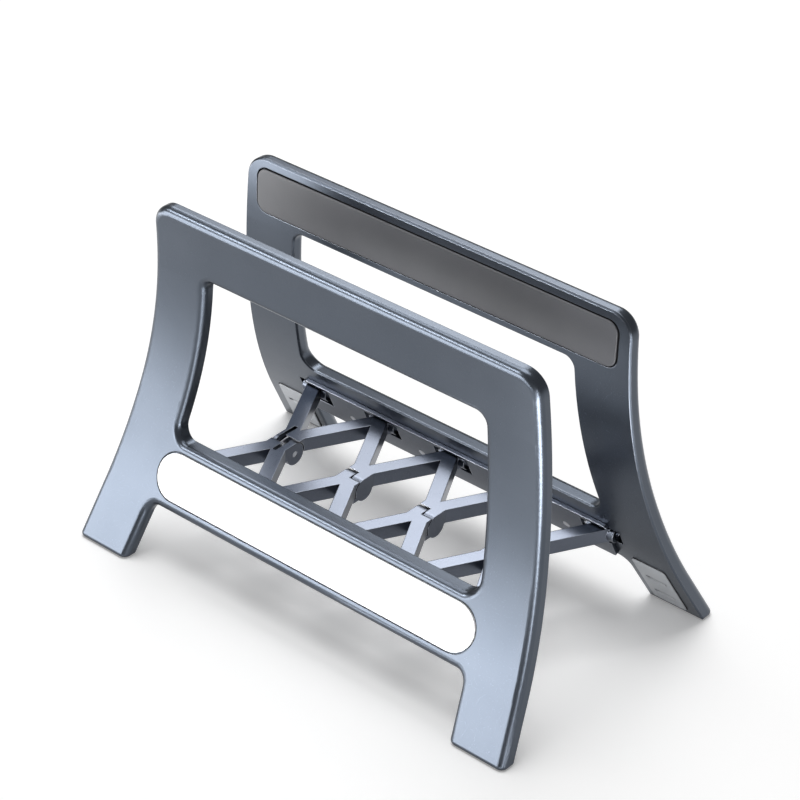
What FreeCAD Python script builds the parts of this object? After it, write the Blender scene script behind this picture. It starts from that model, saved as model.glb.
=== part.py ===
# Vertical laptop stand: two flared metal side frames joined by a hinged, sprung lattice.
# The laptop's edge rests on the lattice. Its weight folds the lattice down in the middle,
# which draws the frames together until their rubber pads hold the laptop.
#
# X runs along the frames, Y from the front frame to the back frame, Z up.
# The origin is on the floor in the middle of the four feet. All sizes are in millimetres.

import FreeCAD, Part
import math
import os

os.makedirs("parts", exist_ok=True)
V = FreeCAD.Vector

# Side of a frame, seen along X: two arcs and a straight foot
HEIGHT = 121.0            # floor to the top edge
PLATE = 5.4               # frame thickness, square to its face
WAIST_Z = 97.6            # height where the two frames come closest
WAIST_Y = 23.7            # outer face at the waist, from the middle plane
LOWER_R = 165.0           # outer face below the waist
UPPER_R = 210.0           # outer face above the waist, where it leans out again
STRAIGHT_Z = 19.0         # below this height the foot runs straight

# Front of a frame, seen along Y: narrow at the top, flared at the feet
FLARE_TOP_X = 78.75       # half width where the flare starts
FLARE_TOP_Z = 139.0       # height where the flare would be upright
FLARE_R = 600.0           # radius of the flare
FLARE_END_Z = 53.0        # below this height the legs run straight
LEG = 22.0                # leg width, along X
SHOULDER_R = 8.0          # top corners
WINDOW_TOP = HEIGHT - 21.95   # height of the window's top edge
WINDOW_TOP_R = 4.0        # window's top corners
SILL_Z = 40.5             # height of the window's sill
SILL_R = 5.0              # window's bottom corners
RAIL_Z = 18.4             # height of the rail's lower edge
RAIL_R = 4.0              # corners between the rail and the legs
RIM_R = 2.5               # rounded rim round the outer face and its openings
INNER_BEVEL = 0.6         # bevelled border of the inner face and its openings
FOOT_R = 1.2              # rounded outer and side edges of the sole

# Rubber pads along the top, let into the inner faces
TOP_PAD_W = 149.0
TOP_PAD_H = 15.8
TOP_PAD_Z = HEIGHT - 11.5     # height of the pad's middle, on the outer face
TOP_PAD_CORNER = 4.0
TOP_PAD_T = 1.6
TOP_PAD_PROUD = 0.4       # how far the pad stands out of the inner face
PAD_GAP = 0.3             # gap round a pad in its recess

# Rubber pads on the inner faces of the feet
FOOT_PAD_TOP = 21.5       # top edge, on the inner face
FOOT_PAD_BOTTOM = 2.2     # bottom edge, on the inner face
FOOT_PAD_IN = 3.7         # leg's inner edge to the pad
FOOT_PAD_OUT = 4.8        # pad to the leg's outer edge
FOOT_PAD_CORNER = 1.2
FOOT_PAD_T = 1.5
FOOT_PAD_PROUD = 0.5
FOOT_SLOT_W = 7.8         # two slots across each foot pad
FOOT_SLOT_H = 1.0
FOOT_SLOTS_Z = (13.9, 6.8)

# Bare plate on the front rail
NAME_PLATE_W = 136.0
NAME_PLATE_H = 16.7
NAME_PLATE_Z = 30.5       # height of its middle, on the outer face
NAME_PLATE_T = 0.9
NAME_PLATE_PROUD = 0.4
NAME_PLATE_GAP = 0.25

# Hinge between a frame and the lattice
HINGE_Z = 31.87           # height on the outer face that faces the hinge axis
AXIS_SINK = 0.4           # hinge axis inside the rail, from its inner face
ROD_R = 1.0
ROD_FIT = 0.03            # rod in its grooves, radial
ROD_HALF = 66.8           # half length of the rod
BORE_FIT = 0.05           # barrels and fingers on their pins, radial
BARREL_R = 2.5
BARREL_HALF = 5.4         # half length of a barrel
POCKET_GAP = 0.75         # barrel to its pocket in the rail
POCKET_HALF = 7.4         # half length of a pocket

# Bar that holds the rod against the rail
BAR_T = 1.4
BAR_HALF = 65.5
BAR_UP = 5.1              # bar above the hinge axis, along the face
BAR_DOWN = 11.0           # bar below the hinge axis, along the face
BAR_CORNER = 1.0
WINDOW_UP = 3.9           # bar's windows above the hinge axis, along the face
WINDOW_DOWN = 3.6         # bar's windows below the hinge axis, along the face

# Countersunk screws from the rail into the bar
SCREW_Z = 27.0            # height of the heads, on the outer face
SCREW_SINK = 0.6          # heads below the outer face
SCREW_R = 1.25
SCREW_HEAD_R = 2.3
SCREW_HEAD_T = 1.3
SCREW_FIT = 0.05
SCREW_KEY = 1.5           # socket across its flats
SCREW_KEY_DEEP = 0.9

# Lattice: two zigzag halves that meet in four finger hinges
PITCH = 31.0              # distance between neighbouring hinges along X
HINGES = 4                # finger hinges along the middle
ARM_W = 5.0               # arm width, square to the arm
ARM_H = 5.0               # arm height
APEX_Y = 2.0              # where two arms' middle lines meet at the middle
JOINT_Y = 30.2            # where two arms' middle lines meet at a frame
BLOCK_HALF = 4.3          # half width of a hinge block
BLOCK_END = 5.5           # end of the block, from the middle plane
KNUCKLE_R = 4.0           # finger's round end
KNUCKLE_GAP = 0.5         # finger to the hollow of the other half
SIDE_GAP = 0.15           # finger's side to the joint's middle
PIN_R = 1.0
PIN_END_GAP = 0.1         # pin's end to the side of its hinge, or to its bore's end
PIN_COVER = 0.9           # metal over both ends of the two middle pins
TOE_T = 1.5               # stop under the other half's arm
TOE_GAP = 0.3             # stop to the arm
TOE_END = 5.5             # end of the stop, from the middle plane

# Torsion springs in the two outer hinges
THIN_EAR = 1.4            # ear outside the spring
THICK_EAR = 2.8           # ear inside the spring
WIRE_R = 0.35             # wire's radius over the corners of its section
WIRE_SIDES = 8
COIL_R = 1.9              # coil's mean radius
COIL_TURNS = 4
COIL_EAR_GAP = 0.25       # coil to the ears
LEG_SLOT_W = 1.5          # slots that hold the spring's ends
LEG_SLOT_FLOOR = 0.15     # slot's floor below the wire
LONG_LEG = 7.6            # spring's end in the half with the thin ear
SHORT_LEG = 6.2           # spring's end in the half with the thick ear
SLOT_SPARE = 0.5          # slot beyond the wire's end

# Spare length for cutters, so that they run past the faces they cut
OVER = 8.0


def face_lean(z):
    """Angle between the outer face at height z and the vertical, positive where it faces up."""
    if z >= WAIST_Z:
        return -math.asin((z - WAIST_Z) / UPPER_R)
    return math.asin((WAIST_Z - max(z, STRAIGHT_Z)) / LOWER_R)


def face_point(z, depth=0.0):
    """Point at a depth below the back frame's outer face, square to its height z."""
    lean = face_lean(z)
    radius = UPPER_R if z >= WAIST_Z else LOWER_R
    y = WAIST_Y + radius * (1 - math.cos(lean)) + max(STRAIGHT_Z - z, 0) * math.tan(lean)
    return V(0, y - depth * math.cos(lean), z - depth * math.sin(lean))


def face_placement(z):
    """Placement on the outer face: x along X, y up the face, z into the plate."""
    lean = face_lean(z)
    up = V(0, -math.sin(lean), math.cos(lean))
    inward = V(0, -math.cos(lean), -math.sin(lean))
    return FreeCAD.Placement(face_point(z), FreeCAD.Rotation(V(1, 0, 0), up, inward, "XYZ"))


def height_at(z_inner, depth):
    """Height on the outer face whose point at this depth lies at the height z_inner."""
    z = z_inner
    for _ in range(20):
        z = z_inner + depth * math.sin(face_lean(z))
    return z


def side_curve(depth):
    """Edges of the frame's side at a depth below the outer face, from foot to top."""
    heights = (-OVER, STRAIGHT_Z, (STRAIGHT_Z + WAIST_Z) / 2, WAIST_Z,
               (WAIST_Z + HEIGHT + OVER) / 2, HEIGHT + OVER)
    foot, bend, lower, waist, upper, top = [face_point(z, depth) for z in heights]
    return [Part.makeLine(foot, bend),
            Part.Arc(bend, lower, waist).toShape(),
            Part.Arc(waist, upper, top).toShape()]


def strip(depth_out, depth_in):
    """Solid between two depths below the outer face, as long as the frame's flare."""
    reach = half_width(0) + OVER
    outer = side_curve(depth_out)
    inner = side_curve(depth_in)
    foot = Part.makeLine(outer[0].Vertexes[0].Point, inner[0].Vertexes[0].Point)
    top = Part.makeLine(outer[-1].Vertexes[-1].Point, inner[-1].Vertexes[-1].Point)
    profile = Part.Face(Part.Wire(Part.__sortEdges__(outer + inner + [foot, top])))
    profile.translate(V(-reach, 0, 0))
    return profile.extrude(V(2 * reach, 0, 0))


def half_width(z):
    """Half width of the frame's outline at height z."""
    fall = FLARE_TOP_Z - max(z, FLARE_END_Z)
    run = math.sqrt(FLARE_R ** 2 - fall ** 2)
    return FLARE_TOP_X + FLARE_R - run + max(FLARE_END_Z - z, 0) * fall / run


def outline_prism(inset, bottom, top):
    """Prism along Y inside the frame's outline, inset from its two flared sides."""
    def corner(side, z):
        return V(side * (half_width(z) - inset), 0, z)

    edges = []
    for side in (-1, 1):
        bend = max(bottom, FLARE_END_Z)
        if bottom < FLARE_END_Z:
            edges.append(Part.makeLine(corner(side, bottom), corner(side, min(bend, top))))
        if top > FLARE_END_Z:
            middle = (bend + top) / 2
            arc = Part.Arc(corner(side, bend), corner(side, middle), corner(side, top))
            edges.append(arc.toShape())
    for z in (bottom, top):
        edges.append(Part.makeLine(corner(-1, z), corner(1, z)))
    profile = Part.Face(Part.Wire(Part.__sortEdges__(edges)))
    return profile.extrude(V(0, face_point(0).y + OVER, 0))


def edges_where(shape, test):
    """Edges of a shape whose ends all pass the test."""
    return [edge for edge in shape.Edges if all(test(v.Point) for v in edge.Vertexes)]


def edges_along(shape, direction, test):
    """Straight edges of a shape along a direction whose ends all pass the test."""
    found = []
    for edge in edges_where(shape, test):
        run = edge.Vertexes[-1].Point - edge.Vertexes[0].Point
        if run.Length > 0 and abs(run.dot(direction)) > 0.999 * run.Length:
            found.append(edge)
    return found


def rounded_rectangle(width, height, radius):
    """Face in the XY plane with four round corners, centred on the origin."""
    def corner_point(index, degrees):
        angle = math.radians(90 * index + degrees)
        right = 1 if index in (0, 3) else -1
        above = 1 if index in (0, 1) else -1
        centre = V(right * (width / 2 - radius), above * (height / 2 - radius), 0)
        return centre + V(radius * math.cos(angle), radius * math.sin(angle), 0)

    edges = []
    for index in range(4):
        start, middle, end = [corner_point(index, degrees) for degrees in (0, 45, 90)]
        following = corner_point((index + 1) % 4, 0)
        edges.append(Part.Arc(start, middle, end).toShape())
        if (following - end).Length > 1e-6:
            edges.append(Part.makeLine(end, following))
    return Part.Face(Part.Wire(edges))


def panel(face, z, x, rise, depth_out, depth_in):
    """Curved panel between two depths, its outline square to the frame's face at height z."""
    prism = face.copy()
    prism.translate(V(x, rise, depth_out - OVER))
    prism = prism.extrude(V(0, 0, depth_in - depth_out + 2 * OVER))
    prism.Placement = face_placement(z)
    return prism.common(strip(depth_out, depth_in))


def rod_between(x0, x1, radius, y, z):
    """Round rod along X."""
    return Part.makeCylinder(radius, x1 - x0, V(x0, y, z), V(1, 0, 0))


def to_front(shape):
    """The same piece on the front frame: half a turn about the vertical axis."""
    turned = shape.copy()
    turned.rotate(V(0, 0, 0), V(0, 0, 1), 180)
    return turned


def face_box(z, x_range, rise_range, depth_range):
    """Box set square to the outer face at height z."""
    ranges = (x_range, rise_range, depth_range)
    size = [high - low for low, high in ranges]
    box = Part.makeBox(*size, V(*[low for low, high in ranges]))
    box.Placement = face_placement(z)
    return box


# Places that several pieces share
HINGE = face_point(HINGE_Z, PLATE - AXIS_SINK)
CENTRE_Z = HINGE.z + BARREL_R - KNUCKLE_R
ARM_TOP = HINGE.z + BARREL_R
JOINTS_X = [PITCH * (index - HINGES / 2) for index in range(HINGES + 1)]
BLOCKS_X = [PITCH * (index - (HINGES - 1) / 2) for index in range(HINGES)]
SCREWS_X = BLOCKS_X
END_HINGES = (0, HINGES - 1)


# Side frame

def face_sheet(depth):
    """The curved sheet at a depth below the outer face."""
    reach = half_width(0) + OVER
    sheets = []
    for edge in side_curve(depth):
        edge.translate(V(-reach, 0, 0))
        sheets.append(edge.extrude(V(2 * reach, 0, 0)))
    return Part.Compound(sheets)


def border_edges(plate, depth, wanted):
    """Edges round the openings and the outline of the curved face at this depth."""
    sheet = face_sheet(depth)
    seams = [face_point(z, depth).z for z in (WAIST_Z, STRAIGHT_Z)]

    def on_border(edge):
        ends = [v.Point for v in edge.Vertexes]
        if any(all(abs(p.z - seam) < 0.01 for p in ends) for seam in seams):
            return False
        return all(sheet.distToShape(Part.Vertex(p))[0] < 0.001 for p in ends)

    return [edge for edge in plate.Edges if on_border(edge) and wanted(edge)]


def at_floor(edge):
    """True for an edge that lies on the floor."""
    return all(abs(v.Point.z) < 0.01 for v in edge.Vertexes)


def rounded_prism(inset, bottom, top, corners):
    """Prism inside the frame's outline, with round corners of a given radius at given heights."""
    prism = outline_prism(inset, bottom, top)
    for height, radius in corners:
        edges = edges_along(prism, V(0, 1, 0), lambda p: abs(p.z - height) < 0.01)
        prism = prism.makeFillet(radius, edges)
    return prism


def frame_blank():
    """Curved plate with its window and the gap between its legs, edges still sharp."""
    window_corners = [(WINDOW_TOP, WINDOW_TOP_R), (SILL_Z, SILL_R)]
    outline = rounded_prism(0, 0, HEIGHT, [(HEIGHT, SHOULDER_R)])
    window = rounded_prism(LEG, SILL_Z, WINDOW_TOP, window_corners)
    gap = rounded_prism(LEG, -OVER, RAIL_Z, [(RAIL_Z, RAIL_R)])
    return strip(0, PLATE).common(outline).cut(window).cut(gap)


def eased_frame():
    """Frame with its rounded rims, before anything is let into it."""
    plate = frame_blank()
    plate = plate.makeFillet(RIM_R, border_edges(plate, 0, lambda e: not at_floor(e)))
    plate = plate.makeChamfer(INNER_BEVEL, border_edges(plate, PLATE, lambda e: True))
    outer_y = face_point(0).y
    sole = [e for e in plate.Edges if at_floor(e) and abs(e.CenterOfMass.y - outer_y) < 0.01]
    return plate.makeFillet(FOOT_R, sole)


def hinge_pockets():
    """Pockets for the lattice's barrels, open to the inner face."""
    radius = BARREL_R + POCKET_GAP
    return [rod_between(x - POCKET_HALF, x + POCKET_HALF, radius, HINGE.y, HINGE.z)
            for x in JOINTS_X]


def rod_groove():
    """Groove that the hinge rod lies in, half in the rail and half in the bar."""
    return rod_between(-ROD_HALF, ROD_HALF, ROD_R + ROD_FIT, HINGE.y, HINGE.z)


def screw_depths():
    """Depths of a screw's head, of the end of its cone and of its tip."""
    return SCREW_SINK, SCREW_SINK + SCREW_HEAD_T, PLATE + BAR_T


def screw_solid(x, fit, from_depth):
    """Countersunk screw in the rail, or with a fit the hole that it goes through."""
    head, neck, tip = screw_depths()
    parts = [
        Part.makeCylinder(SCREW_R + fit, tip - head, V(x, 0, head)),
        Part.makeCone(SCREW_HEAD_R + fit, SCREW_R + fit, neck - head, V(x, 0, head)),
    ]
    if from_depth < head:
        parts.append(Part.makeCylinder(SCREW_HEAD_R + fit, head - from_depth, V(x, 0, from_depth)))
    solid = parts[0].multiFuse(parts[1:])
    solid.Placement = face_placement(SCREW_Z)
    return solid


def screw_holes(past_tip):
    """Holes for all screws of one bar, from outside the rail to past their tips."""
    holes = []
    for x in SCREWS_X:
        holes.append(screw_solid(x, SCREW_FIT, -OVER))
        end = Part.makeCylinder(SCREW_R + SCREW_FIT, past_tip, V(x, 0, screw_depths()[2]))
        end.Placement = face_placement(SCREW_Z)
        holes.append(end)
    return holes


def bar_screws():
    """The screws of one bar, each with a socket for its key."""
    screws = []
    for x in SCREWS_X:
        screw = screw_solid(x, 0, SCREW_SINK)
        socket = hexagon_prism(x, SCREW_KEY, SCREW_SINK - OVER, SCREW_SINK + SCREW_KEY_DEEP)
        screws.append(screw.cut(socket))
    return Part.Compound(screws)


def hexagon_prism(x, flats, depth_out, depth_in):
    """Six-sided prism square to the outer face at the screws' height."""
    radius = flats / math.sqrt(3)
    corners = [V(x + radius * math.cos(math.radians(60 * i)),
                 radius * math.sin(math.radians(60 * i)), depth_out) for i in range(7)]
    prism = Part.Face(Part.makePolygon(corners)).extrude(V(0, 0, depth_in - depth_out))
    prism.Placement = face_placement(SCREW_Z)
    return prism


def frame(with_plate):
    """One side frame in the back frame's place."""
    plate = eased_frame()
    cutters = hinge_pockets() + [rod_groove(), top_pad_recess()] + foot_pad_recesses()
    if with_plate:
        cutters.append(name_plate_shape(NAME_PLATE_GAP, 0, NAME_PLATE_T - NAME_PLATE_PROUD, OVER))
    cutters += screw_holes(OVER)
    return plate.cut(cutters)


# Pads and the bare plate

def top_pad_shape(grow, depth_out, depth_in):
    """Panel with the top pad's outline, grown all round."""
    face = rounded_rectangle(TOP_PAD_W + 2 * grow, TOP_PAD_H + 2 * grow, TOP_PAD_CORNER + grow)
    return panel(face, TOP_PAD_Z, 0, 0, depth_out, depth_in)


def top_pad():
    """Rubber pad along the top of the inner face."""
    surface = PLATE + TOP_PAD_PROUD
    return top_pad_shape(0, surface - TOP_PAD_T, surface)


def top_pad_recess():
    """Recess that the top pad is let into."""
    return top_pad_shape(PAD_GAP, PLATE + TOP_PAD_PROUD - TOP_PAD_T, PLATE + OVER)


def foot_pad_shape(side, grow, depth_out, depth_in):
    """Panel with a foot pad's outline, its sides following the leg's two edges."""
    top = height_at(FOOT_PAD_TOP, PLATE)
    bottom = height_at(FOOT_PAD_BOTTOM, PLATE)
    lean = face_lean(bottom)
    corners = []
    for z, rise in ((bottom, -grow), (top, grow)):
        inner = half_width(z) - LEG + FOOT_PAD_IN - grow
        outer = half_width(z) - FOOT_PAD_OUT + grow
        corners.append([V(side * x, (z - bottom) / math.cos(lean) + rise, 0)
                        for x in (inner, outer)])
    loop = [corners[0][0], corners[0][1], corners[1][1], corners[1][0], corners[0][0]]
    prism = Part.Face(Part.makePolygon(loop))
    prism.translate(V(0, 0, depth_out - OVER))
    prism = prism.extrude(V(0, 0, depth_in - depth_out + 2 * OVER))
    uprights = edges_along(prism, V(0, 0, 1), lambda p: True)
    prism = prism.makeFillet(FOOT_PAD_CORNER + grow, uprights)
    prism.Placement = face_placement(bottom)
    return prism.common(strip(depth_out, depth_in))


def foot_pad(side):
    """Rubber pad on the inner face of a foot, with its two slots."""
    surface = PLATE + FOOT_PAD_PROUD
    pad = foot_pad_shape(side, 0, surface - FOOT_PAD_T, surface)
    slots = []
    for z_inner in FOOT_SLOTS_Z:
        z = height_at(z_inner, PLATE)
        x = side * (half_width(z) + (FOOT_PAD_IN - LEG - FOOT_PAD_OUT) / 2)
        face = rounded_rectangle(FOOT_SLOT_W, FOOT_SLOT_H, FOOT_SLOT_H / 2)
        slots.append(panel(face, z, x, 0, surface - FOOT_PAD_T, surface + OVER))
    return pad.cut(slots)


def foot_pad_recesses():
    """Recesses for the pads of both feet."""
    depth = PLATE + FOOT_PAD_PROUD - FOOT_PAD_T
    return [foot_pad_shape(side, PAD_GAP, depth, PLATE + OVER) for side in (-1, 1)]


def name_plate_shape(grow, depth_out, depth_in, above):
    """Panel with the bare plate's outline, grown all round."""
    height = NAME_PLATE_H + 2 * grow
    face = rounded_rectangle(NAME_PLATE_W + 2 * grow, height, height / 2)
    return panel(face, NAME_PLATE_Z, 0, 0, depth_out - above, depth_in)


def name_plate():
    """Bare plate let into the front rail."""
    return name_plate_shape(0, -NAME_PLATE_PROUD, NAME_PLATE_T - NAME_PLATE_PROUD, 0)


# Hinge bar and rod

def hinge_bar():
    """Bar on the rail's inner face that holds the rod, with a window at each barrel."""
    height = BAR_UP + BAR_DOWN
    face = rounded_rectangle(2 * BAR_HALF, height, BAR_CORNER)
    bar = panel(face, HINGE_Z, 0, (BAR_UP - BAR_DOWN) / 2, PLATE, PLATE + BAR_T)
    windows = [face_box(HINGE_Z, (x - POCKET_HALF, x + POCKET_HALF), (-WINDOW_DOWN, WINDOW_UP),
                        (PLATE - OVER, PLATE + OVER)) for x in JOINTS_X]
    return bar.cut(windows + [rod_groove()] + screw_holes(OVER))


def hinge_rod():
    """Rod that a frame's barrels turn on."""
    return rod_between(-ROD_HALF + ROD_FIT, ROD_HALF - ROD_FIT, ROD_R, HINGE.y, HINGE.z)


# Lattice

def finger_spans():
    """X range of the back half's finger in each hinge, from the hinge's middle."""
    low, high = -BLOCK_HALF, BLOCK_HALF
    spans = [(SIDE_GAP, high) for _ in BLOCKS_X]
    spans[0] = (low, low + THIN_EAR)
    spans[-1] = (low, low + THICK_EAR)
    return spans


def arm(block_x, joint_x):
    """Arm from a hinge block to a barrel at the back frame, a little long at both ends."""
    start = V(block_x, APEX_Y, 0)
    run = V(joint_x, JOINT_Y, 0) - start
    spare = HINGE.y - JOINT_Y + ARM_W
    corner = V(-spare, -ARM_W / 2, ARM_TOP - ARM_H)
    bar = Part.makeBox(run.Length + 2 * spare, ARM_W, ARM_H, corner)
    bar.rotate(V(0, 0, 0), V(0, 0, 1), math.degrees(math.atan2(run.y, run.x)))
    bar.translate(start)
    return bar


def zigzag():
    """Arms and hinge blocks of one half, between the middle and the hinge axis."""
    bottom = ARM_TOP - ARM_H
    pieces = []
    for index, x in enumerate(BLOCKS_X):
        pieces += [arm(x, joint_x) for joint_x in JOINTS_X[index:index + 2]]
        pieces.append(Part.makeBox(2 * BLOCK_HALF, BLOCK_END, ARM_H, V(x - BLOCK_HALF, 0, bottom)))
    reach = JOINTS_X[-1] + BARREL_HALF
    limits = Part.makeBox(2 * reach, HINGE.y, ARM_H, V(-reach, 0, bottom))
    return pieces[0].multiFuse(pieces[1:]).common(limits)


def hollow(x, span):
    """Round hollow that clears the other half's finger in a hinge."""
    spare = ARM_W
    radius = KNUCKLE_R + KNUCKLE_GAP
    low, high = span
    if low > -BLOCK_HALF:
        return rod_between(x - BLOCK_HALF - spare, x + low, radius, 0, CENTRE_Z)
    return rod_between(x + high, x + BLOCK_HALF + spare, radius, 0, CENTRE_Z)


def finger(x, span, toe):
    """Round finger of a hinge with its neck, and the toe that stops the hinge when flat."""
    bottom = ARM_TOP - ARM_H
    low, high = span
    neck = Part.makeBox(high - low, BLOCK_END, ARM_H, V(x + low, 0, bottom))
    pieces = [rod_between(x + low, x + high, KNUCKLE_R, 0, CENTRE_Z)]
    if toe:
        corner = V(x + low, -TOE_END, bottom - TOE_GAP - TOE_T)
        pieces.append(Part.makeBox(high - low, TOE_END, TOE_T, corner))
    return neck.multiFuse(pieces)


def leg_slot(x, length):
    """Slot in the top of the back half for one end of a spring."""
    floor = CENTRE_Z + COIL_R - WIRE_R - LEG_SLOT_FLOOR
    return Part.makeBox(LEG_SLOT_W, length + SLOT_SPARE, ARM_TOP - floor + OVER,
                        V(x - LEG_SLOT_W / 2, 0, floor))


def spring_ends():
    """X of the coil's long end and short end in the hinge at -X, on the wire's middle."""
    x = BLOCKS_X[0]
    long_end = x - BLOCK_HALF + THIN_EAR + COIL_EAR_GAP + WIRE_R
    short_end = x + BLOCK_HALF - THICK_EAR - COIL_EAR_GAP - WIRE_R
    return long_end, short_end


def wire_drift():
    """How far a spring's straight end moves along X for each millimetre of its length."""
    long_end, short_end = spring_ends()
    return (short_end - long_end) / COIL_TURNS / (2 * math.pi * COIL_R)


def bore_half(index):
    """Half length of a centre pin's bore: the middle ones stop inside the fingers."""
    return BLOCK_HALF if index in END_HINGES else BLOCK_HALF - PIN_COVER


def centre_bore(index, x):
    """Bore for a centre pin, running out at both ends in the end hinges."""
    reach = bore_half(index) + (OVER if index in END_HINGES else 0)
    return rod_between(x - reach, x + reach, PIN_R + BORE_FIT, 0, CENTRE_Z)


def lattice_half():
    """Back half of the lattice. The front half is the same piece, turned round."""
    spans = finger_spans()
    half = zigzag().cut([hollow(x, span) for x, span in zip(BLOCKS_X, spans)])
    added = [finger(x, span, index not in END_HINGES)
             for index, (x, span) in enumerate(zip(BLOCKS_X, spans))]
    added += [rod_between(x - BARREL_HALF, x + BARREL_HALF, BARREL_R, HINGE.y, HINGE.z)
              for x in JOINTS_X]
    reach = JOINTS_X[-1] + OVER
    long_end, short_end = spring_ends()
    bores = [centre_bore(index, x) for index, x in enumerate(BLOCKS_X)]
    bores += [
        rod_between(-reach, reach, ROD_R + BORE_FIT, HINGE.y, HINGE.z),
        leg_slot(long_end - wire_drift() * LONG_LEG / 2, LONG_LEG),
        leg_slot(-short_end - wire_drift() * SHORT_LEG / 2, SHORT_LEG),
    ]
    return half.multiFuse(added).cut(bores).removeSplitter()


def centre_pin(index, x):
    """Pin of one hinge in the middle of the lattice."""
    half = bore_half(index) - PIN_END_GAP
    return rod_between(x - half, x + half, PIN_R, 0, CENTRE_Z)


def wire_section(middle, along):
    """Section of a spring's wire, square to its direction."""
    across = along.cross(V(0, 0, 1)).normalize()
    up = across.cross(along)
    corners = []
    for index in range(WIRE_SIDES + 1):
        angle = 2 * math.pi * index / WIRE_SIDES
        corner = across * math.cos(angle) + up * math.sin(angle)
        corners.append(middle + corner * WIRE_R)
    return Part.makePolygon(corners)


def spring():
    """Torsion spring in the hinge at -X: a coil round the pin, with an end in each half."""
    long_end, short_end = spring_ends()
    length = short_end - long_end
    helix = Part.makeHelix(length / COIL_TURNS, length, COIL_R)
    turned = FreeCAD.Rotation(V(0, 0, 1), V(0, -1, 0), V(1, 0, 0), "XYZ")
    helix.Placement = FreeCAD.Placement(V(long_end, 0, CENTRE_Z), turned)
    along = V(wire_drift(), -1, 0).normalize()
    start = V(long_end, 0, CENTRE_Z + COIL_R)
    end = V(short_end, 0, CENTRE_Z + COIL_R)
    coil = Part.Wire(helix.Edges).makePipeShell([wire_section(start, along)], True, True)
    long_leg = Part.Face(wire_section(start, along)).extrude(along * -LONG_LEG)
    short_leg = Part.Face(wire_section(end, along)).extrude(along * SHORT_LEG)
    return coil.multiFuse([long_leg, short_leg])


# Whole stand

def stand():
    """Every piece by name, in its place."""
    pieces = {
        "front_frame": to_front(frame(True)),
        "back_frame": frame(False),
        "name_plate": to_front(name_plate()),
        "back_lattice": lattice_half(),
        "front_lattice": to_front(lattice_half()),
        "spring_left": spring(),
        "spring_right": to_front(spring()),
    }
    fittings = {"top_pad": top_pad(), "hinge_bar": hinge_bar(), "hinge_rod": hinge_rod(),
                "bar_screws": bar_screws()}
    for name, shape in fittings.items():
        pieces["back_" + name] = shape
        pieces["front_" + name] = to_front(shape)
    for side, hand in ((-1, "left"), (1, "right")):
        pieces["back_foot_pad_" + hand] = foot_pad(side)
        pieces["front_foot_pad_" + hand] = to_front(foot_pad(-side))
    for index, x in enumerate(BLOCKS_X):
        pieces["centre_pin_" + str(index + 1)] = centre_pin(index, x)
    return pieces


for name, shape in stand().items():
    shape.exportStep("parts/" + name + ".step")
    print(name, shape.isValid(), len(shape.Solids), round(shape.Volume, 1))
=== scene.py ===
# %% [markdown]
# # A vertical laptop stand in satin metal
#
# The stand is two flared metal frames joined by a hinged, sprung lattice. The solids come
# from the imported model, so this script only dresses them: it gives each one the finish of
# the real material, replaces the soft pads and the bare plate with surfaces that have
# eased edges, and builds a small studio round the stand.

import bmesh
import bpy
import mathutils
import numpy as np
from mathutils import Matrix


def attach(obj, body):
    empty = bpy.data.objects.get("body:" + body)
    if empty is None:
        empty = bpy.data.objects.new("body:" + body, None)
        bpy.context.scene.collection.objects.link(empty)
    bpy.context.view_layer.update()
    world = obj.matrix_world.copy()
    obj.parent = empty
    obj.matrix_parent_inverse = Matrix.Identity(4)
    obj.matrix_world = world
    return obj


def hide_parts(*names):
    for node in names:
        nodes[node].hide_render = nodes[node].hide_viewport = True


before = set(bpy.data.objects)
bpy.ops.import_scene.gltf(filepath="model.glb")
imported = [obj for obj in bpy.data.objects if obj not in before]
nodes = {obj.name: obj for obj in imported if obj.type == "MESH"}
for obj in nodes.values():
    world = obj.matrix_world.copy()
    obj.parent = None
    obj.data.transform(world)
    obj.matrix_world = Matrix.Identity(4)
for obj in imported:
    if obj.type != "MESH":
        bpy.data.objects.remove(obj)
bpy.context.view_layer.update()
MM = 0.001

# %% [markdown]
# ## Colours and nodes
#
# Colours are picked as sRGB hex values, because that is how a swatch reads on a screen, but
# shaders work in linear light. One function turns the first into the second. A material is
# a small graph, so a second function adds a node, sets its values and links its inputs, and
# a third starts a material with its shader in place.


# %% From a hex swatch to linear light
def linear(swatch):
    """sRGB to linear: c / 12.92 below 0.04045, else ((c + 0.055) / 1.055) to the power 2.4."""
    code = np.array([int(swatch[i:i + 2], 16) for i in (1, 3, 5)]) / 255
    low, high = code / 12.92, ((code + 0.055) / 1.055) ** 2.4
    return (*np.where(code <= 0.04045, low, high).tolist(), 1.0)


print("mid grey #808080 is", round(linear("#808080")[0], 3), "in linear light")


# %% One function that adds a node
def add(tree, kind, inputs=None, **settings):
    """Adds a node; an input given an output socket is linked, any other is set to its value."""
    node = tree.nodes.new(kind)
    for name, value in settings.items():
        setattr(node, name, value)
    for name, value in (inputs or {}).items():
        if isinstance(value, bpy.types.NodeSocket):
            tree.links.new(value, node.inputs[name])
        else:
            node.inputs[name].default_value = value
    return node


def material(name):
    """A new material with only its output and a Principled shader; returns all three."""
    made = bpy.data.materials.new(name)
    made.use_nodes = True
    tree = made.node_tree
    tree.nodes.clear()
    out = add(tree, "ShaderNodeOutputMaterial")
    shader = add(tree, "ShaderNodeBsdfPrincipled")
    tree.links.new(shader.outputs["BSDF"], out.inputs["Surface"])
    return made, tree, shader


print("helpers:", add.__name__, "and", material.__name__)

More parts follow.
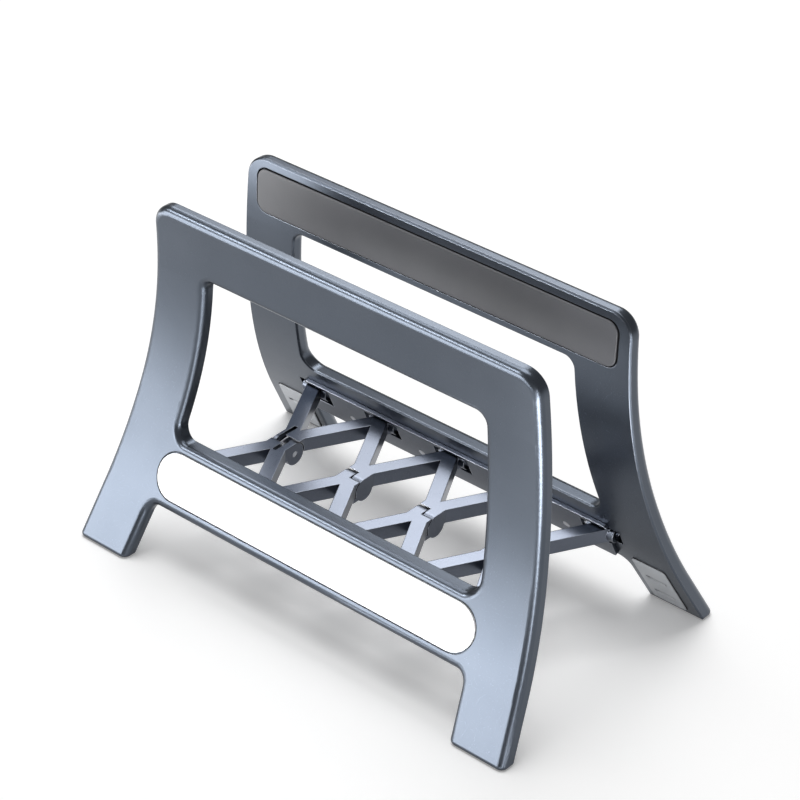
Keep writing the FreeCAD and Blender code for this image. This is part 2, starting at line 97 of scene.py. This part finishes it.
# %% [markdown]
# ## The metal of the frames
#
# The frames look like cast or bent aluminium that was bead blasted and anodised in a dark
# blue grey. Blasting leaves tiny pits, which spread a reflection into a soft sheen without
# any direction. Anodising colours the metal itself, so the tint belongs to the reflection:
# a fully metallic shader with a dark blue grey colour. Where it mirrors a lamp it looks
# pale, and where it mirrors the empty room it looks dark. A real pit is about a tenth of a
# millimetre wide, too fine to show, so the pits are drawn coarser.
#
# Every edge is deburred, which rounds it a little. The edges could be bevelled in the mesh,
# but the solids are loose triangles that stay as they are, so a bevel node gives the rounded
# normal. Where that normal turns away from the face's own, the point lies on an edge, and
# the colour goes towards a pale grey: a painted highlight along the edges. Occlusion within
# a millimetre tells inner corners from outer edges, and darkens the narrow gaps round the
# plate and the pads: painted shade in the gaps.

# %% Where an edge or a gap lies
DEBURR = 0.4 * MM              # width over which deburring rounds an edge
CORNER_REACH = 1.0 * MM        # how far occlusion looks for inner corners and gaps
EDGE_TURN = (0.98, 0.84)       # cosine of the turn where the painted edge highlight begins, and where it is full
INNER_CORNER = (0.7, 0.9)      # openness of an inner corner, and of an outer edge
SHADED_GAP = (0.3, 0.6)         # openness of a gap in full painted shade, and of an unshaded face


def edges_and_gaps(tree):
    """Rounded normal, share of painted edge highlight and share of metal free of painted shade.

    The share of painted highlight is how far the rounded normal turns away from the face's own,
    times how open the place is. The share free of painted shade is openness on another scale.
    """
    rounded = add(tree, "ShaderNodeBevel", {"Radius": DEBURR}, samples=8).outputs["Normal"]
    face = add(tree, "ShaderNodeNewGeometry").outputs["Normal"]
    turned = add(tree, "ShaderNodeVectorMath", {0: rounded, 1: face}, operation="DOT_PRODUCT")
    edge = add(tree, "ShaderNodeMapRange", {"Value": turned.outputs["Value"],
                                            "From Min": EDGE_TURN[0],
                                            "From Max": EDGE_TURN[1]})
    openness = add(tree, "ShaderNodeAmbientOcclusion", {"Distance": CORNER_REACH}, samples=6)
    outer = add(tree, "ShaderNodeMapRange", {"Value": openness.outputs["AO"],
                                             "From Min": INNER_CORNER[0],
                                             "From Max": INNER_CORNER[1]})
    # painted highlight: outer edges get a paler colour
    edge_highlight = add(tree, "ShaderNodeMath", {0: edge.outputs["Result"], 1: outer.outputs["Result"]},
               operation="MULTIPLY")
    # painted shade: narrow gaps and pockets go dark by occlusion
    unshaded = add(tree, "ShaderNodeMapRange", {"Value": openness.outputs["AO"],
                                             "From Min": SHADED_GAP[0],
                                             "From Max": SHADED_GAP[1]})
    return rounded, edge_highlight.outputs["Value"], unshaded.outputs["Result"]


print("an edge begins at a turn of", round(float(np.degrees(np.arccos(EDGE_TURN[0])))), "degrees")

# %% Blasted and anodised aluminium
GRIT = 0.35 * MM                     # width of a pit, three times the real one so that it shows
PIT_DEPTH = 0.015 * MM
HANDLING = 24 * MM                   # size of the faint clouds of an anodised sheet
CLOUD_RANGE = (0.3, 0.7)             # noise values that stand for the two swatches
SATIN, SATIN_SPREAD = 0.29, 0.04     # roughness, and how far the pits vary it
# colour of the painted shade in narrow gaps and pockets
GAP_SHADE = "#0c0d0f"


def anodised(name, swatch, cloud_swatch, highlight_swatch):
    """Metal tinted between two swatches by slow noise, with fine pits, a painted highlight on edges
    and painted shade in gaps.
    """
    made, tree, shader = material(name)
    place = add(tree, "ShaderNodeTexCoord").outputs["Object"]
    cloud = add(tree, "ShaderNodeTexNoise", {"Vector": place, "Scale": 1 / HANDLING, "Detail": 3.0})
    drift = add(tree, "ShaderNodeMapRange", {"Value": cloud.outputs["Fac"],
                                             "From Min": CLOUD_RANGE[0],
                                             "From Max": CLOUD_RANGE[1]})
    tint = add(tree, "ShaderNodeMix", {"Factor": drift.outputs["Result"], "A": linear(swatch),
                                       "B": linear(cloud_swatch)}, data_type="RGBA")
    rounded, edge_highlight, unshaded = edges_and_gaps(tree)
    # painted shade: the colour goes near black in narrow gaps
    gap_shaded = add(tree, "ShaderNodeMix", {"Factor": unshaded, "A": linear(GAP_SHADE),
                                        "B": tint.outputs["Result"]}, data_type="RGBA")
    # painted highlight: the colour goes towards the pale swatch on outer edges
    highlighted = add(tree, "ShaderNodeMix", {"Factor": edge_highlight, "A": gap_shaded.outputs["Result"],
                                       "B": linear(highlight_swatch)}, data_type="RGBA")
    tree.links.new(highlighted.outputs["Result"], shader.inputs["Base Color"])
    shader.inputs["Metallic"].default_value = 1.0

    pits = add(tree, "ShaderNodeTexNoise", {"Vector": place, "Scale": 1 / GRIT, "Detail": 2.0})
    spread = add(tree, "ShaderNodeMapRange", {"Value": pits.outputs["Fac"],
                                              "To Min": SATIN - SATIN_SPREAD,
                                              "To Max": SATIN + SATIN_SPREAD})
    tree.links.new(spread.outputs["Result"], shader.inputs["Roughness"])
    bump = add(tree, "ShaderNodeBump", {"Height": pits.outputs["Fac"], "Strength": 0.1,
                                        "Distance": PIT_DEPTH, "Normal": rounded})
    tree.links.new(bump.outputs["Normal"], shader.inputs["Normal"])
    return made


# the third swatch is the colour of the painted edge highlight
frame_metal = anodised("anodised_frame", "#4f555e", "#535962", "#8b8f97")
lattice_metal = anodised("anodised_lattice", "#5a5f69", "#5f646e", "#9ea2ab")
print("pits per centimetre:", round(10 * MM / GRIT))

# %% [markdown]
# ## Steel
#
# Rods, pins and screws are turned or ground steel, left bright. Turning leaves rings round
# the axis, which lie across X on every rod and pin here, so a wave along X gives the rings.
# On the screws, which point another way, the same wave reads as the lines of a ground head.
# Real grooves would need thousands of faces, so the rings only bend the light. The springs
# are drawn wire with a darker skin, and their rings lie further apart.

# %% Turned steel and spring wire
WAVE_PERIOD = np.pi / 10             # a wave texture of scale 1 repeats after this length
RING_DEPTH = 0.01 * MM


def steel(name, swatch, rough, ring):
    """Bright metal with fine turning rings a given distance apart along X."""
    made, tree, shader = material(name)
    place = add(tree, "ShaderNodeTexCoord").outputs["Object"]
    rings = add(tree, "ShaderNodeTexWave", {"Vector": place, "Scale": WAVE_PERIOD / ring,
                                            "Distortion": 0.4})
    shader.inputs["Base Color"].default_value = linear(swatch)
    shader.inputs["Metallic"].default_value = 1.0
    shader.inputs["Roughness"].default_value = rough
    bump = add(tree, "ShaderNodeBump", {"Height": rings.outputs["Fac"], "Strength": 0.3,
                                        "Distance": RING_DEPTH})
    tree.links.new(bump.outputs["Normal"], shader.inputs["Normal"])
    return made


pin_steel = steel("turned_steel", "#b9bcc2", 0.25, 0.157 * MM)
spring_wire = steel("spring_wire", "#83868c", 0.3, 0.377 * MM)
print("steels:", pin_steel.name, spring_wire.name)

# %% [markdown]
# ## Rubber
#
# The pads are moulded rubber in grey. Moulded rubber takes the fine spark-eroded texture of
# its mould, which makes it matt but still pale at a glancing angle. That grain is finer
# than a pixel, so it is drawn a few times coarser, as bump. Occlusion within a slot's width
# darkens the colour there: painted shade in the slots of a pad.

# %% Moulded rubber
GRAIN, GRAIN_DEPTH = 0.5 * MM, 0.03 * MM     # mould grain, coarser than the real one to show
TONE = 18 * MM                               # size of the slow change of tone
TONE_RANGE = (0.35, 0.75)                    # noise values that stand for the two swatches
SLOT_REACH = 1.6 * MM                        # how far occlusion looks for slots
SHADED_SLOT = (0.55, 0.85)                    # openness of a slot in full painted shade, and of an unshaded face
# colour of the painted shade in the slots
SLOT_SHADE = "#17181a"


def rubber(name, swatch, worn_swatch):
    """Matt dielectric with mould grain as bump, a slow change of tone and painted shade in slots.
    """
    made, tree, shader = material(name)
    place = add(tree, "ShaderNodeTexCoord").outputs["Object"]
    tone = add(tree, "ShaderNodeTexNoise", {"Vector": place, "Scale": 1 / TONE, "Detail": 3.0})
    drift = add(tree, "ShaderNodeMapRange", {"Value": tone.outputs["Fac"],
                                             "From Min": TONE_RANGE[0],
                                             "From Max": TONE_RANGE[1]})
    colour = add(tree, "ShaderNodeMix", {"Factor": drift.outputs["Result"], "A": linear(swatch),
                                         "B": linear(worn_swatch)}, data_type="RGBA")
    hollow = add(tree, "ShaderNodeAmbientOcclusion", {"Distance": SLOT_REACH}, samples=8)
    unshaded = add(tree, "ShaderNodeMapRange", {"Value": hollow.outputs["AO"],
                                             "From Min": SHADED_SLOT[0],
                                             "From Max": SHADED_SLOT[1]})
    # painted shade: the slots go dark by occlusion
    slot_shaded = add(tree, "ShaderNodeMix", {"Factor": unshaded.outputs["Result"], "A": linear(SLOT_SHADE),
                                        "B": colour.outputs["Result"]}, data_type="RGBA")
    tree.links.new(slot_shaded.outputs["Result"], shader.inputs["Base Color"])
    shader.inputs["IOR"].default_value = 1.52
    shader.inputs["Roughness"].default_value = 0.5
    grain = add(tree, "ShaderNodeTexNoise", {"Vector": place, "Scale": 1 / GRAIN, "Detail": 2.0})
    bump = add(tree, "ShaderNodeBump", {"Height": grain.outputs["Fac"], "Strength": 0.35,
                                        "Distance": GRAIN_DEPTH})
    tree.links.new(bump.outputs["Normal"], shader.inputs["Normal"])
    return made


top_rubber = rubber("moulded_rubber_top", "#444549", "#4b4c50")
foot_rubber = rubber("moulded_rubber_foot", "#9fa2a6", "#a7aaae")
print("rubbers:", top_rubber.name, foot_rubber.name)

# %% [markdown]
# ## White enamel
#
# The plate on the front rail is white with a smooth gloss, like enamel or a glossy plastic,
# and it carries nothing. Such a skin flows before it hardens, which leaves a faint orange
# peel, and its clear top mirrors the lamps. So the shader has a thin coat and a soft bump.

# %% White enamel
PEEL, PEEL_DEPTH = 1.8 * MM, 0.01 * MM       # width and depth of the orange peel


def enamel(name, swatch):
    """White enamel: a smooth dielectric under a thin clear coat, with faint orange peel."""
    made, tree, shader = material(name)
    place = add(tree, "ShaderNodeTexCoord").outputs["Object"]
    shader.inputs["Base Color"].default_value = linear(swatch)
    shader.inputs["Roughness"].default_value = 0.3
    shader.inputs["Coat Weight"].default_value = 0.3
    shader.inputs["Coat Roughness"].default_value = 0.1
    peel = add(tree, "ShaderNodeTexNoise", {"Vector": place, "Scale": 1 / PEEL, "Detail": 1.0})
    bump = add(tree, "ShaderNodeBump", {"Height": peel.outputs["Fac"], "Strength": 0.1,
                                        "Distance": PEEL_DEPTH})
    tree.links.new(bump.outputs["Normal"], shader.inputs["Normal"])
    return made


plate_white = enamel("white_enamel", "#f6f6f6")
print("white:", plate_white.name)

# %% [markdown]
# ## Dress the solids
#
# A solid's name says what it is, so a table from words in a name to finishes dresses all of
# them. That is shorter than a line for each solid, and a solid without a finish stops the
# script.

# %% Give every solid its finish
FINISHES = {
    "frame": frame_metal,
    "lattice": lattice_metal,
    "hinge_bar": lattice_metal,
    "hinge_rod": pin_steel,
    "bar_screws": pin_steel,
    "centre_pin": pin_steel,
    "spring": spring_wire,
    "top_pad": top_rubber,
    "foot_pad": foot_rubber,
    "name_plate": plate_white,
}
for name, piece in nodes.items():
    finish = next(look for key, look in FINISHES.items() if key in name)
    piece.data.materials.clear()
    piece.data.materials.append(finish)
print("dressed:", len(nodes), "solids")

# %% [markdown]
# ## Pads and plate that follow the curved face
#
# The real pads are moulded and the plate is stamped, so none of them has a sharp edge, and
# each is bent to the face that it lies in. Both facts come from one idea: draw the piece as
# nested outlines on a flat sheet, give each outline a height, and bend the sheet to the
# face. The face is two arcs and a straight foot, measured by the distance along it from
# its waist, so the bend is a plain formula and needs no modifier.

# %% The face of a frame, by distance along it
WAIST_Y, WAIST_Z = 23.7, 97.6      # outer face at the waist, in mm
LOWER_R, UPPER_R = 165.0, 210.0    # its radii below and above the waist
STRAIGHT_Z = 19.0                  # straight below this height
PLATE = 5.4                        # thickness of a frame
LEG = 22.0                         # width of a leg
FLARE_X, FLARE_Z = 78.75, 139.0    # half width at the flare's narrowest, above the stand
FLARE_R, FLARE_END = 600.0, 53.0   # the flare's radius, and where it turns straight

FOOT_LEAN = np.arcsin((WAIST_Z - STRAIGHT_Z) / LOWER_R)


def face_point(down, depth):
    """Y and Z on the back frame: lean = down / radius, then straight along the tangent."""
    radius = np.where(down < 0, UPPER_R, LOWER_R)
    lean = np.minimum(down / radius, FOOT_LEAN)
    straight = np.maximum(down - FOOT_LEAN * LOWER_R, 0)
    y = WAIST_Y + radius * (1 - np.cos(lean)) + straight * np.sin(lean) - depth * np.cos(lean)
    z = WAIST_Z - radius * np.sin(lean) - straight * np.cos(lean) - depth * np.sin(lean)
    return y, z


def down_to(z):
    """Distance from the waist down to a height on the outer face, the inverse of the above."""
    radius = LOWER_R if z < WAIST_Z else UPPER_R
    lean = np.arcsin((WAIST_Z - max(z, STRAIGHT_Z)) / radius)
    return lean * radius + max(STRAIGHT_Z - z, 0) / np.cos(FOOT_LEAN)


def half_width(z):
    """Half width of the frame: a circle that turns into its tangent near the feet."""
    fall = FLARE_Z - np.maximum(z, FLARE_END)
    run = np.sqrt(FLARE_R ** 2 - fall ** 2)
    return FLARE_X + FLARE_R - run + np.maximum(FLARE_END - z, 0) * fall / run


print("the foot leans", round(float(np.degrees(FOOT_LEAN)), 1), "degrees")

# %% Nested outlines of a rounded rectangle
CORNER_POINTS = 7        # points on a rounded corner
EASE_POINTS = 5          # points on an eased edge


def outlines(width, height, corner, insets, step):
    """Grid of points: row i is the rounded rectangle moved inwards by insets[i].

    Every outline point is a centre plus a radius along its normal. Moving inwards first
    shortens the radius, and then draws the centres together until they meet on a line.
    """
    arc = np.radians(np.linspace(0, 90, CORNER_POINTS))
    centres, normals = [], []
    signs = [(1, 1), (-1, 1), (-1, -1), (1, -1)]
    for turn, (right, above) in enumerate(signs):
        angles = arc + turn * np.pi / 2
        centres.append(np.tile([right, above], (len(arc), 1)))
        normals.append(np.stack([np.cos(angles), np.sin(angles)], 1))
        following = np.array(signs[(turn + 1) % 4])
        side = (width if following[0] != right else height) - 2 * corner
        count = int(max(side, 0) / step)
        along = (np.arange(1, count + 1) / (count + 1))[:, None]
        centres.append(np.array([right, above]) * (1 - along) + following * along)
        normals.append(np.tile(normals[-1][-1], (count, 1)))
    centres, normals = np.concatenate(centres), np.concatenate(normals)
    insets = np.asarray(insets)[:, None, None]
    core = np.array([width, height]) / 2 - np.maximum(insets, corner)
    return centres * core + normals * np.maximum(corner - insets, 0)


def eased_profile(top, ease, half, step):
    """Insets and heights from the foot of the wall, round a quarter circle, to the middle."""
    turn = np.radians(np.linspace(0, 90, EASE_POINTS))
    flat = np.linspace(ease, half, int((half - ease) / step) + 2)[1:]
    insets = np.concatenate([[0], ease * (1 - np.cos(turn)), flat])
    heights = np.concatenate([[0], top - ease + ease * np.sin(turn), np.full(len(flat), top)])
    return insets, heights


sample = outlines(40.0, 20.0, 3.0, eased_profile(1.0, 0.3, 10.0, 1.0)[0], 2.0)
print("a 40 x 20 mm piece has", sample.shape[0], "outlines of", sample.shape[1], "points")

# %% From a grid to a closed mesh
MERGE = 0.002 * MM            # points closer than this are one point
SLIVER = 0.001 * MM           # edges shorter than this go
SHARP = np.radians(50)        # a fold sharper than this stays sharp


def weld(piece):
    """Merges points that fell together on the middle line and turns all faces outwards."""
    work = bmesh.new()
    work.from_mesh(piece.data)
    bmesh.ops.remove_doubles(work, verts=work.verts, dist=MERGE)
    bmesh.ops.dissolve_degenerate(work, edges=work.edges, dist=SLIVER)
    bmesh.ops.recalc_face_normals(work, faces=work.faces)
    work.to_mesh(piece.data)
    work.free()


def skin(name, points, look):
    """Closed mesh from a grid whose rows close on themselves; the floor is one big face."""
    rows, columns = points.shape[:2]
    index = np.arange(rows * columns).reshape(rows, columns)
    after = np.roll(index, -1, axis=1)
    quads = np.stack([index[:-1], after[:-1], after[1:], index[1:]], -1).reshape(-1, 4)
    mesh = bpy.data.meshes.new(name)
    mesh.from_pydata((points.reshape(-1, 3) * MM).tolist(), [],
                     quads.tolist() + [index[0, ::-1].tolist()])
    piece = bpy.data.objects.new(name, mesh)
    bpy.context.scene.collection.objects.link(piece)
    weld(piece)
    mesh.shade_smooth()
    mesh.set_sharp_from_angle(angle=SHARP)
    mesh.materials.append(look)
    return piece


def bend_to_face(flat, heights, middle, base_depth, front):
    """Lays flat points (x, rise) with heights over a depth on a frame, front or back."""
    y, z = face_point(middle - flat[..., 1], base_depth + heights)
    points = np.stack([flat[..., 0], y, z], -1)
    return points * ([-1, -1, 1] if front else [1, 1, 1])


print("inner face of the front frame at the waist:",
      bend_to_face(np.zeros((1, 2)), 0, down_to(WAIST_Z), PLATE, True).round(1).tolist(), "mm")

# %% [markdown]
# ## Top pads
#
# Each frame has a long rubber strip let into the top of its inner face, where it touches
# the laptop. It stands 0.4 mm proud and its edge is eased, so a dark line shows in the gap
# all round it. The face curves away upwards, and the strip follows it. One flat grid
# serves both strips, because the frames mirror each other.

# %% Top pads
TOP_PAD = {"width": 148.4, "height": 15.2, "corner": 3.7, "ease": 0.35,
           "proud": 0.4, "thick": 1.6, "middle": 109.5}
LONG_ROWS, LONG_STEP = 0.9, 2.0     # spacing of the grid of a long piece, in mm
insets, heights = eased_profile(TOP_PAD["thick"], TOP_PAD["ease"], TOP_PAD["height"] / 2,
                                LONG_ROWS)
flat = outlines(TOP_PAD["width"], TOP_PAD["height"], TOP_PAD["corner"], insets, LONG_STEP)
floor_depth = PLATE + TOP_PAD["proud"] - TOP_PAD["thick"]
for side in ("front", "back"):
    points = bend_to_face(flat, heights[:, None], down_to(TOP_PAD["middle"]), floor_depth,
                          side == "front")
    pad = skin(side + "_top_strip", points, top_rubber)
    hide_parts(side + "_top_pad")
    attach(pad, side + "_frame")
bend = np.degrees(TOP_PAD["height"] / UPPER_R)
print("top strips bend over", round(float(bend), 1), "degrees")

# %% [markdown]
# ## Foot pads
#
# The inner face of each foot carries a smaller pad with two slots across it. Its sides
# follow the flare of the leg, so the flat outline is sheared by the same flare. A slot is a
# long hollow with round ends: the height drops where the distance to a short line is less
# than half the slot's width. Cutting the slots with a boolean would leave ragged faces, so
# the grid is fine enough to carry them.

# %% Foot pads
FOOT_PAD = {"width": 13.3, "top": 21.4, "bottom": 2.3, "corner": 1.1, "ease": 0.3,
            "proud": 0.5, "thick": 1.5}
OUTER_MARGIN, INNER_MARGIN = 4.8, 3.7      # from the leg's edges to the recess of the pad
FOOT_PAD_SHIFT = (INNER_MARGIN - LEG - OUTER_MARGIN) / 2     # from the outer edge to the middle
SLOT_LENGTH, SLOT_WIDTH, SLOT_DEEP, SLOT_WALL = 8.0, 1.6, 1.1, 0.3
SLOT_HEIGHTS = (13.9, 6.8)                 # on the inner face, above the floor
FINE_ROWS, FINE_STEP = 0.22, 0.25          # spacing of a grid fine enough for the slots


def outer_height(z_inner):
    """Height on the outer face whose inner face lies at z_inner: z = z_inner + t sin(lean)."""
    z = z_inner
    for _ in range(20):
        z = z_inner + PLATE * (WAIST_Z - max(z, STRAIGHT_Z)) / LOWER_R
    return z


def foot_strip(side, hand):
    """One foot pad: outlines sheared along the flare, with two slots pressed into the top."""
    low, high = [down_to(outer_height(FOOT_PAD[key])) for key in ("bottom", "top")]
    middle = (low + high) / 2
    insets, heights = eased_profile(FOOT_PAD["thick"], FOOT_PAD["ease"], FOOT_PAD["width"] / 2,
                                    FINE_ROWS)
    flat = outlines(FOOT_PAD["width"], low - high, FOOT_PAD["corner"], insets, FINE_STEP)
    across, up = flat[..., 0], flat[..., 1]
    heights = np.broadcast_to(heights[:, None], flat.shape[:2]).copy()
    for z_inner in SLOT_HEIGHTS:
        rise = middle - down_to(outer_height(z_inner))
        past_line = np.maximum(np.abs(across) - (SLOT_LENGTH - SLOT_WIDTH) / 2, 0)
        outside = np.hypot(past_line, up - rise) - SLOT_WIDTH / 2
        heights -= SLOT_DEEP * np.clip(0.5 - outside / SLOT_WALL, 0, 1)
    leg_middle = half_width(face_point(middle - up, 0)[1]) + FOOT_PAD_SHIFT
    x = across + (leg_middle if hand == "right" else -leg_middle)
    sheared = np.stack([x if side == "back" else -x, up], -1)     # the front is turned later
    depth = PLATE + FOOT_PAD["proud"] - FOOT_PAD["thick"]
    return bend_to_face(sheared, heights, middle, depth, side == "front")


for side in ("front", "back"):
    for hand in ("left", "right"):
        pad = skin(side + "_foot_strip_" + hand, foot_strip(side, hand), foot_rubber)
        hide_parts(side + "_foot_pad_" + hand)
        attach(pad, side + "_frame")
print("foot strips: 4, each with", len(SLOT_HEIGHTS), "slots")

# %% [markdown]
# ## The bare plate
#
# A white stamped plate with round ends is let into the front rail. It is a little smaller
# than its recess, and the gap reads as a thin grey line all round it. It is made as the
# strips are, but it faces outwards, so its heights count towards the outer face.

# %% The bare plate
NAME_PLATE = {"width": 136.0, "height": 16.7, "thick": 0.9, "proud": 0.4, "ease": 0.18,
              "shrink": 0.28, "middle": 30.5}
plate_width = NAME_PLATE["width"] - 2 * NAME_PLATE["shrink"]
plate_height = NAME_PLATE["height"] - 2 * NAME_PLATE["shrink"]
insets, heights = eased_profile(NAME_PLATE["thick"], NAME_PLATE["ease"], plate_height / 2,
                                LONG_ROWS)
flat = outlines(plate_width, plate_height, plate_height / 2, insets, LONG_STEP)
inner_depth = NAME_PLATE["thick"] - NAME_PLATE["proud"]
points = bend_to_face(flat, -heights[:, None], down_to(NAME_PLATE["middle"]), inner_depth, True)
plate = skin("bare_plate", points, plate_white)
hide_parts("name_plate")
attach(plate, "front_frame")
print("plate points:", len(plate.data.vertices))

# %% [markdown]
# ## The camera
#
# The camera stands where the photographer stood. Azimuth and elevation are angles round the
# stand, and the long lens keeps the frames nearly parallel. The roll turns the camera about
# its own view, so it is applied before the camera is raised and turned. A small shift slides
# the picture in its frame without turning the camera.

# %% Place the camera
AZIMUTH = np.radians(41.789)
ELEVATION = np.radians(33.069)
ROLL = np.radians(-0.114)
TARGET = np.array([0.0, 0.0, 68.29]) * MM
DISTANCE = 909.6 * MM
LENS, SENSOR = 129.41, 36.0                # focal length and sensor width, in mm
PICTURE = 800                              # width of the picture in pixels
SHIFT = (10.238 / PICTURE, -0.412 / PICTURE)


def direction(azimuth, elevation):
    """Unit vector from the stand: azimuth 0 is in front of it, elevation is above the floor."""
    level = np.cos(elevation)
    return np.array([np.sin(azimuth) * level, -np.cos(azimuth) * level, np.sin(elevation)])


camera_data = bpy.data.cameras.new("camera")
camera_data.lens = LENS
camera_data.sensor_width = SENSOR
camera_data.shift_x, camera_data.shift_y = SHIFT
camera_data.clip_start = 10 * MM
camera = bpy.data.objects.new("camera", camera_data)
bpy.context.scene.collection.objects.link(camera)
camera.location = TARGET + direction(AZIMUTH, ELEVATION) * DISTANCE
facing = mathutils.Euler((np.pi / 2 - ELEVATION, 0, AZIMUTH)).to_matrix()
camera.rotation_euler = (facing @ mathutils.Matrix.Rotation(ROLL, 3, "Z")).to_euler()
bpy.context.scene.camera = camera
print("camera in mm:", np.round(np.array(camera.location) / MM).tolist())

# %% [markdown]
# ## The studio
#
# Satin metal shows what stands round it more than its own colour, so the lamps are placed
# by mirror directions. The legs lean back and mirror what lies low on the left: a card on
# the floor for the upper half of the legs, and a panel behind it for the lower half. The
# rounded rims mirror a strip above the panel, which draws their white lines, and the
# upright rims mirror two small cards on the floor and a small panel on the right. Level
# faces mirror what hangs behind the stand: a near panel for the top edges, and a far one
# for the lattice's tops. A large softbox overhead lights the floor and gives the soft
# shadow.

# %% Lamps
CARD_LIFT = 0.5          # a card lies this far above the paper, in mm


def lamp(name, location, turn, width, height, radiance):
    """Rectangular lamp that no camera ray sees; power = radiance times pi times its area."""
    light = bpy.data.lights.new(name, "AREA")
    light.shape = "RECTANGLE"
    light.size, light.size_y = width, height
    light.energy = radiance * np.pi * width * height
    holder = bpy.data.objects.new(name, light)
    bpy.context.scene.collection.objects.link(holder)
    holder.location, holder.rotation_euler = location, turn
    holder.visible_camera = False
    return holder


def softbox(name, azimuth, elevation, distance, width, height, radiance):
    """A lamp aimed at the stand from an azimuth, an elevation and a distance in metres."""
    turn, lift = np.radians(azimuth), np.radians(elevation)
    place = TARGET + direction(turn, lift) * distance
    return lamp(name, place, (np.pi / 2 - lift, 0, turn), width, height, radiance)


def floor_card(name, start, azimuth, near, far, width, radiance):
    """A lamp on the floor that shines up, from near to far in metres off a start in mm."""
    turn = np.radians(azimuth)
    place = np.array([*start, CARD_LIFT]) * MM + direction(turn, 0) * (near + far) / 2
    return lamp(name, place, (np.pi, 0, turn), width, far - near, radiance)


softbox("overhead", azimuth=-120, elevation=74, distance=1.3, width=0.9, height=0.9,
        radiance=4.9)
metal_lamps = [
    floor_card("left_card", start=(0, 0), azimuth=-36, near=0.32, far=0.75, width=0.8,
               radiance=6.6),
    softbox("left_panel", azimuth=-36, elevation=6, distance=1.0, width=0.9, height=0.3,
            radiance=8.2),
    softbox("rim_strip", azimuth=-46, elevation=37, distance=1.3, width=0.6, height=0.14,
            radiance=26.0),
    softbox("top_panel", azimuth=-138, elevation=44, distance=0.46, width=0.35, height=0.14,
            radiance=6.0),
    floor_card("right_card", start=(0, 0), azimuth=52, near=0.13, far=0.50, width=0.09,
               radiance=15.0),
    softbox("right_panel", azimuth=54, elevation=0, distance=0.7, width=0.10, height=0.13,
            radiance=10.0),
]
window_lamps = [
    floor_card("window_card", start=(-56, -32), azimuth=48, near=0.065, far=0.15, width=0.03,
               radiance=5.5),
]
lattice_lamps = [
    softbox("back_panel", azimuth=-138, elevation=33, distance=1.3, width=0.8, height=0.5,
            radiance=3.7),
]
print("lamps:", [light.name for light in bpy.data.lights])

# %% [markdown]
# ## The paper floor
#
# The floor is white paper. Rays that come straight from the camera, off a mirror or through
# glass see a small glow added to it, so that the open floor reads as white while the lamps
# stay at a plain level. Brighter lamps would whiten it too, but they would wash out the
# stand's shadow.

# %% The paper floor
EDGE = 4.0                # half the width of the paper, in metres
GLOW = 0.22               # glow of the paper for camera, mirrored and refracted rays
floor_mesh = bpy.data.meshes.new("floor")
floor_mesh.from_pydata([(-EDGE, -EDGE, 0), (EDGE, -EDGE, 0), (EDGE, EDGE, 0), (-EDGE, EDGE, 0)],
                       [], [(0, 1, 2, 3)])
floor = bpy.data.objects.new("floor", floor_mesh)
bpy.context.scene.collection.objects.link(floor)
floor_look, floor_tree, floor_shader = material("paper_floor")
seen = add(floor_tree, "ShaderNodeLightPath")
direct = add(floor_tree, "ShaderNodeMath", {0: seen.outputs["Is Camera Ray"],
                                            1: seen.outputs["Is Glossy Ray"]}, operation="ADD")
clear = add(floor_tree, "ShaderNodeMath", {0: direct.outputs["Value"],
                                           1: seen.outputs["Is Transmission Ray"]},
            operation="ADD", use_clamp=True)
glow = add(floor_tree, "ShaderNodeMath", {0: clear.outputs["Value"], 1: GLOW},
           operation="MULTIPLY")
floor_shader.inputs["Base Color"].default_value = linear("#fbfbfb")
floor_shader.inputs["Roughness"].default_value = 0.9
floor_shader.inputs["Specular IOR Level"].default_value = 0.0
floor_shader.inputs["Emission Color"].default_value = linear("#ffffff")
floor_tree.links.new(glow.outputs["Value"], floor_shader.inputs["Emission Strength"])
floor_mesh.materials.append(floor_look)
print("floor", 2 * EDGE, "m wide, glow", GLOW)

# %% [markdown]
# ## What the lamps leave out
#
# All lamps but the overhead one are there for the metal alone, so the paper is taken out of
# what they light. The far panel leaves out the frames too, whose window sills are dark in
# the photograph, and the small card before the window leaves out the back frame with its
# pad.


# %% What the lamps leave out
def leave_out(name, holders, pieces):
    """Makes lamps light everything except the given pieces."""
    spared = bpy.data.collections.new(name)
    for piece in pieces:
        spared.objects.link(piece)
    for holder in holders:
        holder.light_linking.receiver_collection = spared
    for member in spared.collection_objects:
        member.light_linking.link_state = "EXCLUDE"


leave_out("paper", metal_lamps, [floor])
leave_out("paper_and_frames", lattice_lamps,
          [floor, nodes["front_frame"], nodes["back_frame"]])
leave_out("paper_and_back", window_lamps,
          [floor, nodes["back_frame"], bpy.data.objects["back_top_strip"]])
print("lamps that leave pieces out:", len(metal_lamps + lattice_lamps + window_lamps))

# %% [markdown]
# ## The room
#
# The room is an even, dim white. It fills the shadows a little and is what the dark faces
# of the metal mirror, so its strength sets how dark they get.

# %% The room
ROOM = 0.28               # strength of the room's own light
world = bpy.data.worlds.new("studio")
bpy.context.scene.world = world
world.use_nodes = True
world_tree = world.node_tree
world_tree.nodes.clear()
world_out = add(world_tree, "ShaderNodeOutputWorld")
sky = add(world_tree, "ShaderNodeBackground", {"Color": linear("#ffffff"), "Strength": ROOM})
world_tree.links.new(sky.outputs["Background"], world_out.inputs["Surface"])
bpy.context.scene.view_settings.view_transform = "Standard"
print("room light", ROOM)
